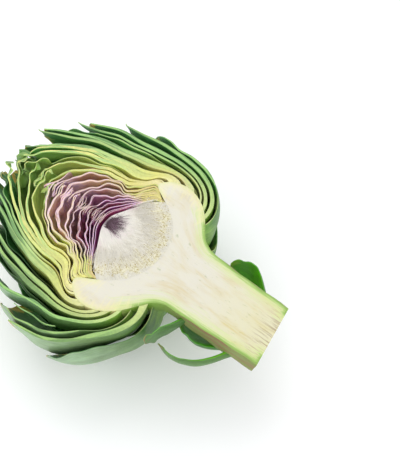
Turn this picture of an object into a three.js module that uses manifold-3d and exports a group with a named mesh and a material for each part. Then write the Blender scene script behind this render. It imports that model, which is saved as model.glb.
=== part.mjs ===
// Half of a globe artichoke, cut lengthwise through the head and the stem and laid on its back.
// Units are millimetres and +Z is up. The head's axis runs along X: the stem points to +X and the tip
// of the head to -X. The cut faces up, and the half rests on the bellies of its lowest leaves.
//
// A point of the head is named by (along, out, turn): the distance along the axis from the foot of the
// heart towards the tip, the distance out from the axis, and the angle round it. A turn of 0 degrees
// is +Y in the cut, 90 points down and 180 is -Y in the cut.
import * as THREE from "three";
import { mergeVertices } from "three/addons/utils/BufferGeometryUtils.js";
import Module from "manifold-3d";

// Driving dimensions
const AXIS_HEIGHT = 43.9; // the head's axis above the surface that the half lies on
const CUT_HEIGHT = 46.4; // the knife passed a little above the axis
const FOOT_X = 15.46; // where the foot of the heart stands on X
const AXIS_Y = 5.77; // the loose side reaches further out, so the axis stands off the middle
const STEM_LENGTH = 54;
const STEM_DROP = 2.2; // how far the end of the stem hangs below the head's axis
const DROP_STRETCH = [5, 40]; // the drop grows between these distances from the foot of the heart
const STEM_END_TILT = 8.7; // degrees that the stem's end is cut askew
const STEM_END_LEAN = 13; // degrees that the end leans in under the cut
const STEM_TRIM = 2.2; // how much of the stem's length that cut takes off at its middle
const PRESS = 0.1; // share of their distance from the axis that the lowest leaves lose by pressing
const PRESS_STRETCH = [6, 40]; // the pressing grows between these places along the axis
const OPENING = 0.07; // share of it that all the leaves of the loose side gain
const OPENING_OUTSIDE = 0.13; // share that its outermost leaves gain on top of that
const OPENING_STRETCH = [-10, 24]; // the opening grows between these places along the axis
const OUTSIDE = [40, 46]; // and on the outermost leaves between these distances from it
const RIB_COUNT = 11; // ribs round the stem
const RIB_HEIGHT = 0.35;
const SEAT_GAP = 0.3; // clearance between neighbouring pieces
const LEAF_SINK = 0.15; // the cut edge of a leaf lies this much lower than the heart's
const FIRST_LEAF = -7; // leaves are counted from the loose ones at the stem to the ones in the middle
const FIRST_TENDER = 36;
const FIRST_PURPLE = 50;
const LAST_LEAF = 73;
const GOLDEN_ANGLE = 137.5; // each leaf grows this many degrees round from the one before
const FIRST_TURN = 20.5; // the turn of leaf number 0
const REACH_ABOVE = 18.6; // a leaf whose middle lies further above the axis left with the other half
const ROOT_HALF_WIDTH = 25; // degrees round the axis
const EDGE_THICKNESS = 0.6;

// The heart and stem's outline and the dish that holds the choke, as (along, out).
const HEART_OUTLINE = [
  [-54, 14.2], [-40, 14.6], [-25, 14.8], [-12, 15.2], [-8, 16.2], [-5, 18], [-2.5, 20.8], [0, 24.1],
  [3.5, 27.9], [8, 31], [13, 32.7], [18, 32.7], [22.5, 31], [25.6, 28.4], [26.2, 26.4],
];
const DISH_OUTLINE = [[25, 25], [21, 22.8], [15, 19.6], [9, 14.4], [5.2, 7], [4, 0]];
const CHOKE_OUTLINE = [
  [4.3, 0], [5.5, 6.9], [9.3, 14.1], [15.2, 19.2], [19.4, 21.2],
  [20.4, 19.2], [23.2, 14.8], [26.8, 9.2], [30.2, 3.8], [32, 0],
];

// The line that the middle of a leaf follows from its root to its tip, as (along, out), for some leaves.
// The lines of the leaves between them are blended from these.
const LEAF_LINES = [
  {
    leaf: -7,
    line: [
      [-5, 17], [-7.2, 23], [-6.8, 30], [-3.5, 37.5],
      [2.5, 43.8], [9.5, 47.8], [15.5, 49], [21, 49],
    ],
  },
  {
    leaf: -6,
    line: [
      [-5, 17.2], [-7, 23], [-6, 30], [-2, 37],
      [4.5, 42.8], [13, 46.6], [20, 48], [27, 48.5],
    ],
  },
  {
    leaf: -4,
    line: [
      [-2.6, 19.5], [-4.2, 25.2], [-2.9, 32], [1.5, 38.6],
      [8.8, 43.8], [18, 46.4], [27, 47.4], [35.5, 48],
    ],
  },
  {
    leaf: 0,
    line: [
      [0.2, 21.2], [-1, 26.8], [0.4, 33], [4.8, 38.7],
      [11.6, 43], [21, 45.4], [33, 46], [46, 45.4],
    ],
  },
  {
    leaf: 13,
    line: [
      [4.2, 27.5], [6, 32.2], [10.3, 36.6], [17, 39.5],
      [26.5, 40.6], [39, 39.6], [54, 37.2], [69, 32],
    ],
  },
  {
    leaf: 24,
    line: [
      [10.8, 31], [14, 34.3], [19.5, 36.2], [26.5, 36.2],
      [35, 34.7], [48, 32.6], [64, 28.8], [81, 21],
    ],
  },
  {
    leaf: 32,
    line: [
      [16.6, 31.2], [20.3, 33.4], [25.2, 33.6], [29.8, 31.7],
      [36, 29.3], [49, 27.4], [66, 22], [84.5, 11],
    ],
  },
  {
    leaf: 40,
    line: [
      [21.4, 29.3], [24.6, 30.9], [28, 30], [31.3, 27.2],
      [36, 24.5], [50, 22.6], [68, 14.5], [81.5, 0],
    ],
  },
  {
    leaf: 44,
    line: [
      [23.4, 28], [26.2, 29.2], [29.1, 27.6], [31.9, 24.6],
      [36.5, 22], [48.5, 20.5], [63, 12.5], [71.5, 0],
    ],
  },
  {
    leaf: 49,
    line: [
      [25, 25.6], [27.1, 26.3], [29.2, 24.4], [31.9, 21.2],
      [37, 18.4], [46.5, 17], [56.6, 9.6], [60.8, 0],
    ],
  },
  {
    leaf: 74,
    line: [
      [20.5, 21], [22.6, 20.3], [24.7, 18.2], [26.9, 15.2],
      [29.1, 11.8], [31.3, 8.3], [33.9, 4.6], [34.9, 0],
    ],
  },
];
// The leaves that stand a few degrees off the spiral: their numbers, and by how much.
const TWISTS = { "-7": 14, "-4": -4.5, 9: 4 };
// The leaves whose tails have sprung open on their own: their numbers, and how far at the tip.
const SPRUNG = { 9: 3 };
const SPRUNG_STRETCH = [30, 56]; // that grows between these places along the axis
// Half of a leaf's width at its widest, in degrees round the axis, for some leaves.
const HALF_WIDTHS = [[-8, 24], [0, 28], [13, 29.5], [24, 35.5], [32, 38], [49, 43], [57, 56], [74, 62]];
// The share of that width along the leaf past its root, and the thickness along its middle.
const LEAF_OUTLINES = {
  outer: [[0.3, 0.8], [0.5, 1], [0.7, 1], [0.85, 0.9], [0.95, 0.66], [1, 0.3]],
  tender: [[0.3, 0.8], [0.5, 1], [0.7, 0.98], [0.85, 0.82], [0.95, 0.5], [1, 0.12]],
  purple: [[0.35, 0.65], [0.55, 1], [0.75, 0.95], [0.88, 0.7], [0.96, 0.4], [1, 0.15]],
};
const LEAF_THICKNESS = [[0, 2.4], [0.5, 2.1], [0.7, 1.4], [1, 0.7]];
const PURPLE_THICKNESS = [[0, 0.7], [1, 0.6]];
// Leaves swell only as far as the pitch between their lines leaves room: [pitch, thickness].
const ROOM = [[0.27, 0.6], [0.39, 0.8], [0.5, 1.6], [0.6, 2.3]];

// Half the width of the leaves that close over the middle, by the distance left to the axis.
const CROWNS = {
  tender: [[-7, 0.5], [-4, 3], [0, 5.2], [8, 8.5], [16, 12]],
  purple: [[-4.5, 0.5], [-2.5, 2.6], [0, 4.2], [6, 7.5], [12, 10.5]],
};
const CROWN_START = 12; // distance from the axis at which the width starts to count in millimetres
const CROWN_ROW = 4.8; // a row of points this far from the axis shapes the crown
const FIRST_CLOSED = 40; // the first leaf that reaches the axis

// The small leaves on the stem and at the foot of the head.
const STEM_LEAVES = [
  {
    name: "stem_leaf_far", turn: 25, halfWidth: 22,
    line: [[-39, 14], [-34, 18.5], [-29, 22], [-25, 22.8], [-21, 21.6], [-17.5, 19.4]],
  },
  {
    name: "stem_leaf_under", turn: 138, halfWidth: 24,
    line: [[-36, 14], [-32, 16.6], [-28, 18.2], [-24, 18.6], [-20, 18], [-16.5, 16.8]],
  },
  {
    name: "stem_leaf_near", turn: 166, halfWidth: 9,
    line: [[-40.5, 14], [-37, 19.5], [-32, 25], [-26, 28.2], [-20, 28.8], [-15.5, 27.6]],
  },
  {
    name: "foot_leaf", turn: 171, halfWidth: 13,
    line: [[-18.5, 13.5], [-17, 17.5], [-15.2, 21.5], [-13.6, 25], [-12.4, 28.2], [-11.4, 31]],
  },
];

const COLOURS = {
  flesh: 0xefe9d2,
  choke: 0xd9d3c4,
  outer: 0x6f9a5c,
  tender: 0xc9cf74,
  purple: 0x8e4a78,
  stemLeaf: 0x7fae4e,
};

const LEAF_COLUMNS = 6;
const STEM_LEAF_COLUMNS = 4;
const LINE_STEPS = 10; // steps between two points of a line when its length is measured
const HEART_SEGMENTS = 36;
const CHOKE_SEGMENTS = 32;
const BEYOND = 400; // wider than the whole half
const RADIAN = Math.PI / 180;
const wasm = await Module();
wasm.setup();

/** Blends a table of [place, value] rows at one place. */
function blend(table, at) {
  const next = table.findIndex(([place]) => place >= at);
  if (next < 0) return table.at(-1)[1];
  if (next === 0) return table[0][1];
  const [low, from] = table[next - 1];
  const [high, to] = table[next];
  return THREE.MathUtils.mapLinear(at, low, high, from, to);
}

/**
 * The place of a point of the head. The leaves of the -Y side have sprung open, those underneath are
 * pressed shut by the weight of the half, and the stem droops.
 */
function place(along, out, turn) {
  const { smoothstep } = THREE.MathUtils;
  const looseSide = smoothstep(-Math.cos(turn * RADIAN), 0.1, 1) * smoothstep(along, ...OPENING_STRETCH);
  const opening = looseSide * (OPENING + OPENING_OUTSIDE * smoothstep(out, ...OUTSIDE));
  const underside = Math.max(0, Math.sin(turn * RADIAN)) ** 2;
  const pressing = PRESS * underside * smoothstep(along, ...PRESS_STRETCH);
  const reach = out * (1 + opening - pressing);
  const droop = STEM_DROP * smoothstep(-along, ...DROP_STRETCH);
  return new THREE.Vector3(
    FOOT_X - along,
    AXIS_Y + reach * Math.cos(turn * RADIAN),
    AXIS_HEIGHT - droop - reach * Math.sin(turn * RADIAN),
  );
}

/** A closed thin blade. `at(across, up, face)` gives its points, and both faces are split alike. */
function bladeGeometry(columns, rows, at) {
  const points = [];
  const triangles = [];
  for (const face of [1, -1])
    for (let row = 0; row <= rows; row++)
      for (let column = 0; column <= columns; column++)
        points.push(...at((2 * column) / columns - 1, row / rows, face).toArray());
  const corner = (column, row, face) => (face * (rows + 1) + row) * (columns + 1) + column;
  for (let row = 0; row < rows; row++)
    for (let column = 0; column < columns; column++) {
      const ring = [[0, 0], [1, 0], [1, 1], [0, 1]].map(([x, y]) => [column + x, row + y]);
      const [a, b, c, d] = ring.map(([x, y]) => corner(x, y, 0));
      const [e, f, g, h] = ring.map(([x, y]) => corner(x, y, 1));
      triangles.push(a, b, c, a, c, d, e, g, f, e, h, g);
    }
  // The rim, one strip along each edge between the two faces.
  const strip = (from, to) =>
    triangles.push(
      ...[corner(...from, 1), corner(...from, 0), corner(...to, 0)],
      ...[corner(...from, 1), corner(...to, 0), corner(...to, 1)],
    );
  for (let row = 0; row < rows; row++) {
    strip([0, row], [0, row + 1]);
    strip([columns, row + 1], [columns, row]);
  }
  for (let column = 0; column < columns; column++) {
    strip([column + 1, 0], [column, 0]);
    strip([column, rows], [column + 1, rows]);
  }
  const geometry = new THREE.BufferGeometry();
  geometry.setAttribute("position", new THREE.Float32BufferAttribute(points, 3));
  geometry.setIndex(triangles);
  return geometry;
}

/** A curve through (along, out) points. */
function curveOf(line) {
  return new THREE.SplineCurve(line.map(([along, out]) => new THREE.Vector2(along, out)));
}

/** How far a point is from a neighbouring leaf's line. */
function distanceTo(line, { x, y }) {
  const here = new THREE.Vector3(x, y, 0);
  const steps = LINE_STEPS * (line.length - 1);
  const stops = curveOf(line).getPoints(steps).map((stop) => new THREE.Vector3(stop.x, stop.y, 0));
  const nearest = stops.slice(1).map((stop, i) => {
    const onSegment = new THREE.Line3(stops[i], stop).closestPointToPoint(here, true, new THREE.Vector3());
    return onSegment.distanceTo(here);
  });
  return Math.min(...nearest);
}

/** The thickness of a leaf's middle at one point of its line. `neighbours` are the lines beside it. */
function thicknessAt(point, share, thickness, neighbours) {
  const pitches = neighbours.map((line) => distanceTo(line, point));
  return Math.min(blend(thickness, share), blend(ROOM, Math.min(...pitches, 1)));
}

/**
 * Where a leaf that closes over the middle of the head has a point: it narrows by an angle round the
 * axis, as all leaves do, and near the axis by a width in millimetres. Gives (distance left to the
 * axis, radians round it).
 */
function crowned(distance, angle, halfWidth) {
  const wrapped = new THREE.Vector2(distance * Math.cos(angle), distance * Math.sin(angle));
  const share = THREE.MathUtils.smoothstep(CROWN_START - distance, 0, CROWN_START / 2);
  wrapped.lerp(new THREE.Vector2(distance, halfWidth), share);
  return [wrapped.length(), wrapped.angle()];
}

/**
 * A leaf whose middle follows `line`, (along, out) from root to tip, wrapped round the axis at `turn`.
 * `outline` gives half its width in degrees along the line. A line that ends on the axis is a leaf that
 * closes over the middle of the head: its tip goes on past the axis, and `crown` gives half its width
 * there in millimetres, by the distance that is left to the axis.
 */
function leafGeometry({ line, turn, rootHalfWidth, outline, crown, thickness, neighbours, columns }) {
  const curve = curveOf(line);
  const lengths = curve.getLengths(LINE_STEPS * (line.length - 1)).filter((_, i) => i % LINE_STEPS === 0);
  const length = lengths.at(-1);
  const depths = lengths.map((travelled, i) =>
    thicknessAt(curve.getPointAt(travelled / length), travelled / length, thickness, neighbours),
  );
  if (crown) {
    lengths.splice(-1, 1, length - CROWN_ROW, length, length - crown[0][0]);
    depths.splice(-1, 1, EDGE_THICKNESS, EDGE_THICKNESS, EDGE_THICKNESS);
  }
  const rows = lengths.length - 1;
  const travel = lengths.map((travelled, i) => [i / rows, travelled]);
  const spread = [[0, rootHalfWidth], ...outline];
  const middle = (across, up) => {
    let distance = length - blend(travel, up);
    let angle = across * blend(spread, 1 - distance / length) * RADIAN;
    if (crown) [distance, angle] = crowned(distance, angle, across * blend(crown, distance));
    const { x: along, y: out } = curve.getPointAt(THREE.MathUtils.clamp(1 - distance / length, 0, 1));
    return place(along, out, turn + angle / RADIAN);
  };
  const step = 0.01;
  return bladeGeometry(columns, rows, (across, up, face) => {
    const sideways = middle(across + step, up).sub(middle(across - step, up));
    const onwards = middle(across, up + step).sub(middle(across, up - step));
    const depth = EDGE_THICKNESS + (depths[Math.round(up * rows)] - EDGE_THICKNESS) * (1 - across * across);
    return middle(across, up).addScaledVector(sideways.cross(onwards).normalize(), (face * depth) / 2);
  });
}

/** Blends the numbers of the leaf lines smoothly from one row of LEAF_LINES to the next. */
const lineBlend = new THREE.CubicInterpolant(
  LEAF_LINES.map(({ leaf }) => leaf),
  LEAF_LINES.flatMap(({ line }) => line.flat()),
  2 * LEAF_LINES[0].line.length,
);

/** The line of one leaf of the head. */
function headLine(leaf) {
  const numbers = [...lineBlend.evaluate(leaf)];
  if (leaf >= FIRST_CLOSED) numbers.splice(-1, 1, 0);
  return LEAF_LINES[0].line.map((_, i) => {
    const [along, out] = numbers.slice(2 * i, 2 * i + 2);
    return [along, out + (SPRUNG[leaf] ?? 0) * THREE.MathUtils.smoothstep(along, ...SPRUNG_STRETCH)];
  });
}

/** A geometry as a solid that can be joined and cut. */
function solid(geometry) {
  const bare = new THREE.BufferGeometry().setAttribute("position", geometry.getAttribute("position"));
  bare.setIndex(geometry.index);
  const merged = mergeVertices(bare, 1e-4);
  const vertProperties = merged.attributes.position.array;
  return new wasm.Manifold(
    new wasm.Mesh({ numProp: 3, vertProperties, triVerts: new Uint32Array(merged.index.array) }),
  );
}

/** The largest body of a solid, without the scraps that a cut leaves. */
function largest(body) {
  return body.decompose().sort((a, b) => b.volume() - a.volume())[0];
}

/** A solid turned round the head's axis from (along, out) points, with ribs along the stem. */
function turned(outline, segments) {
  const points = outline.map(([along, out]) => new THREE.Vector2(out, along));
  const geometry = new THREE.LatheGeometry(points, segments);
  const position = geometry.getAttribute("position");
  for (let i = 0; i < position.count; i++) {
    const along = position.getY(i);
    const turn = Math.atan2(-position.getZ(i), position.getX(i)) / RADIAN;
    const out = Math.hypot(position.getX(i), position.getZ(i));
    const onStem = out > 0 ? THREE.MathUtils.smoothstep(-along, 6, 16) : 0;
    const rib = RIB_HEIGHT * onStem * Math.cos(RIB_COUNT * turn * RADIAN);
    position.setXYZ(i, ...place(along, out + rib, turn).toArray());
  }
  return solid(geometry);
}

/** An outline of (along, out) points moved outwards, to its left side, by a gap. */
function grown(outline, gap) {
  return outline.map(([along, out], i) => {
    const [before, after] = [outline[Math.max(0, i - 1)], outline[Math.min(outline.length - 1, i + 1)]];
    const run = new THREE.Vector2(after[0] - before[0], after[1] - before[1]).normalize();
    return [along - run.y * gap, out === 0 ? 0 : out + run.x * gap];
  });
}

/** The room above one height, or below it, as a large box. */
function room(height, side) {
  const box = new THREE.BoxGeometry(BEYOND, BEYOND, BEYOND);
  return solid(box.translate(0, 0, height + (side * BEYOND) / 2));
}

/** The room past the stem's end, as a box turned to the angles of that cut. */
function pastStem() {
  const box = new THREE.BoxGeometry(BEYOND, BEYOND, BEYOND).translate(BEYOND / 2, 0, 0);
  box.rotateY(STEM_END_LEAN * RADIAN).rotateZ(STEM_END_TILT * RADIAN);
  return solid(box.translate(FOOT_X + STEM_LENGTH - STEM_TRIM, AXIS_Y, CUT_HEIGHT));
}

/** A named mesh of a finished solid. */
function mesh(name, body, colour) {
  const { numProp, vertProperties, triVerts } = body.getMesh();
  const geometry = new THREE.BufferGeometry();
  geometry.setAttribute("position", new THREE.BufferAttribute(new Float32Array(vertProperties), numProp));
  geometry.setIndex(new THREE.BufferAttribute(triVerts, 1));
  const material = new THREE.MeshStandardMaterial({ color: colour, roughness: 0.6, metalness: 0 });
  const made = new THREE.Mesh(geometry, material);
  made.name = name;
  return made;
}

const belowCut = room(CUT_HEIGHT, -1);
const belowLeafCut = room(CUT_HEIGHT - LEAF_SINK, -1);
const aboveFloor = room(0, 1);
const part = new THREE.Group();

// The heart and stem, one growth, with the stem's end cut askew.
const heartOutline = [[-STEM_LENGTH, 0], ...HEART_OUTLINE, ...DISH_OUTLINE];
const heart = turned(heartOutline, HEART_SEGMENTS).intersect(belowCut).subtract(pastStem());
part.add(mesh("heart_and_stem", heart, COLOURS.flesh));

// The choke fills the dish and stands out of it in a cone.
part.add(mesh("choke", turned(CHOKE_OUTLINE, CHOKE_SEGMENTS).intersect(belowCut), COLOURS.choke));

// The leaves are cut off level with the knife and seated on the heart and the choke with a small gap.
const seatOutline = grown([...HEART_OUTLINE, ...DISH_OUTLINE], SEAT_GAP);
const heartSeat = turned([[-STEM_LENGTH - 1, 0], ...seatOutline], HEART_SEGMENTS);
const chokeSeat = turned(grown(CHOKE_OUTLINE, SEAT_GAP), CHOKE_SEGMENTS);
function addLeaf(name, colour, shape) {
  const blade = solid(leafGeometry(shape)).intersect(belowLeafCut).intersect(aboveFloor);
  const seated = largest(blade.subtract(heartSeat).subtract(chokeSeat));
  part.add(mesh(name, seated, colour));
}

const counts = { outer: 0, tender: 0, purple: 0 };
for (let leaf = FIRST_LEAF; leaf <= LAST_LEAF; leaf++) {
  const spiral = THREE.MathUtils.euclideanModulo(FIRST_TURN + leaf * GOLDEN_ANGLE + 90, 360) - 90;
  const turn = spiral + (TWISTS[leaf] ?? 0);
  if (turn < -REACH_ABOVE || turn > 180 + REACH_ABOVE) continue;
  const kind = leaf >= FIRST_PURPLE ? "purple" : leaf >= FIRST_TENDER ? "tender" : "outer";
  counts[kind] += 1;
  addLeaf(`${kind}_leaf_${String(counts[kind]).padStart(2, "0")}`, COLOURS[kind], {
    line: headLine(leaf),
    turn,
    rootHalfWidth: ROOT_HALF_WIDTH,
    outline: LEAF_OUTLINES[kind].map(([up, share]) => [up, share * blend(HALF_WIDTHS, leaf)]),
    crown: leaf >= FIRST_CLOSED ? CROWNS[kind] : undefined,
    thickness: kind === "purple" ? PURPLE_THICKNESS : LEAF_THICKNESS,
    neighbours: [headLine(leaf - 1), headLine(leaf + 1)],
    columns: LEAF_COLUMNS,
  });
}
for (const { name, line, turn, halfWidth } of STEM_LEAVES)
  addLeaf(name, COLOURS.stemLeaf, {
    line,
    turn,
    rootHalfWidth: halfWidth * 0.6,
    outline: LEAF_OUTLINES.outer.map(([up, share]) => [up, share * halfWidth]),
    thickness: LEAF_THICKNESS,
    neighbours: [],
    columns: STEM_LEAF_COLUMNS,
  });

export default part;
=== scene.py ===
"""Half of a globe artichoke, cut lengthwise through the head and the stem and laid on its back.

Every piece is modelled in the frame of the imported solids: metres, +Z up, the stem to +X, the cut facing
up. The sizes below are in millimetres. A point of the head is named by (along, out, turn): the distance
along the axis from the foot of the heart towards the tip, the distance out from the axis, and the angle
round it in degrees. A turn of 0 is +Y in the cut, 90 points down and 180 is -Y in the cut.
"""

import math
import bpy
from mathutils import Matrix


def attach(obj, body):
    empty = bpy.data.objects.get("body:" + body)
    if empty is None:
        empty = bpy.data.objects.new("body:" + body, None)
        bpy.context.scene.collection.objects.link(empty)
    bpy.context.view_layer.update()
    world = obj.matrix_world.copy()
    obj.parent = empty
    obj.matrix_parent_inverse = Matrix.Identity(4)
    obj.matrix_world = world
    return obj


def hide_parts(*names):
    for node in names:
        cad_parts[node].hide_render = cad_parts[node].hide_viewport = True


bl_info = {
    "name": "Artichoke Half",
    "version": (1, 0, 0),
    "blender": (4, 5, 0),
    "location": "View3D > Sidebar > Artichoke",
    "description": "Builds half of a globe artichoke, leaf by leaf, with its stage",
    "category": "Add Mesh",
}

import bmesh
import bpy
import numpy as np
from bpy.props import FloatProperty, FloatVectorProperty, IntProperty, PointerProperty
from mathutils import Vector

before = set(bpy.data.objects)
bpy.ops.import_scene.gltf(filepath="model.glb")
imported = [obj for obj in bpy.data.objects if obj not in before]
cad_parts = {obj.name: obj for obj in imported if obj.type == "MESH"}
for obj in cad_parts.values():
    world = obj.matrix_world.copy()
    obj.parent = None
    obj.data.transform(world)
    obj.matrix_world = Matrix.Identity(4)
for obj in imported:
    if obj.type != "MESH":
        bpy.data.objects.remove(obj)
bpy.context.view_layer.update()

MM = 0.001

# The head's shape, in millimetres and degrees
AXIS_HEIGHT = 43.9
CUT_HEIGHT = 46.4
FOOT_X = 15.46
AXIS_Y = 5.77
STEM_LENGTH = 54
STEM_DROP = 2.2
DROP_STRETCH = (5, 40)
STEM_END_TILT = 8.7
STEM_END_LEAN = 13  # degrees that the end leans in under the cut
STEM_TRIM = 2.2
PRESS = 0.1  # share of its depth that the underside has lost by lying on it
PRESS_STRETCH = (6, 40)
OPENING = 0.07  # share by which the leaves at the loose side stand further out
OPENING_OUTSIDE = 0.13  # and by which the outermost ones do so too
OPENING_STRETCH = (-10, 24)
OUTSIDE = (40, 46)
RIB_COUNT = 11
RIB_HEIGHT = 0.35
GOLDEN_ANGLE = 137.5
FIRST_TURN = 20.5
REACH_ABOVE = 18.6  # degrees above the cut to which a leaf's middle may stand and the leaf still be here
EDGE_REACH = 13  # degrees further up, within which a leaf left an edge of itself in this half
FIRST_CLOSED = 40  # the number from which leaves close over the tip
TWISTS = {-7: 14, -4: -4.5, 9: 4}  # degrees that a few leaves stand off the spiral
SPRUNG = {9: 3}  # how far the tips of a few leaves have sprung open on their own
SPRUNG_STRETCH = (30, 56)  # that grows between these places along the axis
ROOT_HALF_WIDTH = 25
CROWN_START = 12  # distance from the tip at which a leaf starts to close over it
ROOT_DEPTH = 1.2  # how far a leaf's root reaches into the heart
SINK = (0.08, 0.4)  # how far under the heart's cut the cuts of the leaves lie
STEM_LEAF_SINK = 0.2
CHOKE_SINK = 0.05
CHOKE_TIP = 31.3
HAIRY, FLOWERED = 0.86, 0.74  # shares of the dish, out from its middle, with hairs and with florets
HAIR_LENGTH, HAIR_RADIUS = (4, 9), (0.05, 0.11)
TIP_HAIRS = 190  # dark hairs that lie back from the tip of the choke
TIP_HAIR_LENGTH, TIP_HAIR_RADIUS = (1.5, 8), (0.07, 0.12)
FLORET_RADIUS, FLORET_STRETCH = (0.1, 0.24), (1, 1.9)
SWAY_STRETCH = (22, 48)
CRUMPLE_FROM_DISH = (13, 20)
CRUMPLE_STRETCH = (25, 33)
DISH_MIDDLE = 22
LAYERS_MIDDLE = 20  # where the leaves' layers round the choke have their middle
CURLED = (30, 38)  # the numbers between which the leaves' tips start to curl
CURLS = 0.8

# How finely the pieces are made
CURVE_STEPS = 24
SLOPE_STEP = 0.004  # of a leaf's width and length, to find which way its surface faces
CUT_GRID = 1.3  # pitch of the points on the heart's cut face
HEART_STEPS = 132
CHOKE_STEPS = 96
STEM_LEAF_GRID = (16, 28)
SHARP_ANGLE = 40
FAR_OFF = 20.0  # the distance noted for points that aren't on the cut
HAIR_SEED, FLORET_SEED, LEAF_SEED = 5, 8, 100

# The kinds of leaves on the head: the numbers of their first and last leaf, which thinner leaves stand
# between those near the cut (from which number, how many steps to a number, and up to how many degrees
# from the cut), the grid that a leaf is made of, how old each leaf looks and how much its edges wave, by
# its number, and its shares of the sway and of the crumple that the leaves have together.
KINDS = {
    "outer": {
        "numbers": (-7, 35), "between": (28, 2, 25), "grid": (30, 44), "seed": 5, "sway": 1, "crumple": 0,
        "ages": [(-7, 0), (16, 0.1), (36, 1)], "waves": [(-7, 1), (20, 1), (35, 1.5)],
    },
    "tender": {
        "numbers": (36, 49), "between": (36, 2, 25), "grid": (34, 72), "seed": 6, "sway": 1, "crumple": 0.3,
        "ages": [(36, 0), (50, 1)], "waves": [(36, 1.5), (49, 0.5)],
    },
    "purple": {
        "numbers": (50, 73), "between": (47, 4, 38), "grid": (34, 72), "seed": 6, "sway": 0, "crumple": 1,
        "ages": [(50, 0), (56, 0.25), (62, 0.85), (73, 1)], "waves": [(50, 0.35), (73, 0.2)],
    },
}

HEART_OUTLINE = [
    (-54, 14.2), (-40, 14.6), (-25, 14.8), (-12, 15.2), (-8, 16.2), (-5, 18), (-2.5, 20.8), (0, 24.1),
    (3.5, 27.9), (8, 31), (13, 32.7), (18, 32.7), (22.5, 31), (25.6, 28.4), (26.2, 26.4),
]
DISH_OUTLINE = [(25, 25), (21, 22.8), (15, 19.6), (9, 14.4), (5.2, 7), (4, 0)]
CHOKE_OUTLINE = [
    (3.7, 0), (4.9, 7.1), (8.7, 14.6), (14.7, 19.9), (18.4, 21.6), (20.2, 21),
    (21.9, 19.4), (23.8, 17.3), (26, 14.3), (28.2, 10.9), (30.4, 7.4), (32.4, 4), (33.4, 0),
]

# The line that the middle of a leaf follows from its root to its tip, as (along, out), for some leaves.
LEAF_LINES = {
    -7: [(-5, 17), (-7.2, 23), (-6.8, 30), (-3.5, 37.5), (2.5, 43.8), (9.5, 47.8), (15.5, 49), (21, 49)],
    -6: [(-5, 17.2), (-7, 23), (-6, 30), (-2, 37), (4.5, 42.8), (13, 46.6), (20, 48), (27, 48.5)],
    -4: [(-2.6, 19.5), (-4.2, 25.2), (-2.9, 32), (1.5, 38.6), (8.8, 43.8), (18, 46.4), (27, 47.4), (35.5, 48)],
    0: [(0.2, 21.2), (-1, 26.8), (0.4, 33), (4.8, 38.7), (11.6, 43), (21, 45.4), (33, 46), (46, 45.4)],
    13: [(4.2, 27.5), (6, 32.2), (10.3, 36.6), (17, 39.5), (26.5, 40.6), (39, 39.6), (54, 37.2), (69, 32)],
    24: [(10.8, 31), (14, 34.3), (19.5, 36.2), (26.5, 36.2), (35, 34.7), (48, 32.6), (64, 28.8), (81, 21)],
    32: [(16.6, 31.2), (20.3, 33.4), (25.2, 33.6), (29.8, 31.7), (36, 29.3), (49, 27.4), (66, 22), (84.5, 11)],
    40: [(21.4, 29.3), (24.6, 30.9), (28, 30), (31.3, 27.2), (36, 24.5), (50, 22.6), (68, 14.5), (81.5, 0)],
    44: [(23.4, 28), (26.2, 29.2), (29.1, 27.6), (31.9, 24.6), (36.5, 22), (48.5, 20.5), (63, 12.5), (71.5, 0)],
    49: [(25, 25.6), (27.1, 26.3), (29.2, 24.4), (31.9, 21.2), (37, 18.4), (46.5, 17), (56.6, 9.6), (60.8, 0)],
    74: [
        (20.5, 21), (22.6, 20.3), (24.7, 18.2), (26.9, 15.2), (29.1, 11.8), (31.3, 8.3), (33.9, 4.6), (34.9, 0),
    ],
}
HALF_WIDTHS = [(-8, 24), (0, 28), (13, 29.5), (24, 35.5), (32, 38), (49, 43), (57, 56), (74, 62)]
LEAF_OUTLINES = {
    "outer": [(0.3, 0.8), (0.5, 1), (0.7, 1), (0.85, 0.9), (0.95, 0.66), (1, 0.3)],
    "tender": [(0.3, 0.8), (0.5, 1), (0.7, 0.98), (0.85, 0.82), (0.95, 0.5), (1, 0.12)],
    "purple": [(0.35, 0.65), (0.55, 1), (0.75, 0.95), (0.88, 0.7), (0.96, 0.4), (1, 0.12)],
}
CROWNS = {
    "tender": [(-7, 0.3), (-4, 3), (0, 5.2), (8, 8.5), (16, 12)],
    "purple": [(-4.5, 0.3), (-2.5, 2.6), (0, 4.2), (6, 7.5), (12, 10.5)],
}
LEAF_THICKNESS = [(0, 3.4), (0.06, 2.9), (0.15, 2.4), (0.5, 2.1), (0.7, 1.4), (1, 0.6)]
YOUNG_SHARE = [(30, 1), (49, 0.65)]  # of that thickness, by the leaf's number
PURPLE_THICKNESS = [(50, 0.8), (58, 0.48), (64, 0.36), (74, 0.28)]  # by the leaf's number
ROOM = [(0.15, 0.7), (0.27, 1.2), (0.39, 1.6), (0.5, 2.1), (0.6, 2.7), (0.9, 3.5)]
EDGE_THICKNESS = 0.35

STEM_LEAVES = {
    "stem_leaf_far": (25, 22, [(-39, 14), (-34, 18.5), (-29, 22), (-25, 22.8), (-21, 21.6), (-17.5, 19.4)]),
    "stem_leaf_under": (138, 24, [(-36, 14), (-32, 16.6), (-28, 18.2), (-24, 18.6), (-20, 18), (-16.5, 16.8)]),
    "stem_leaf_near": (166, 9, [(-40.5, 14), (-37, 19.5), (-32, 25), (-26, 28.2), (-20, 28.8), (-15.5, 27.6)]),
    "foot_leaf": (
        171, 13, [(-18.5, 13.5), (-17, 17.5), (-15.2, 21.5), (-13.6, 25), (-12.4, 28.2), (-11.4, 31)],
    ),
}

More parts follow.
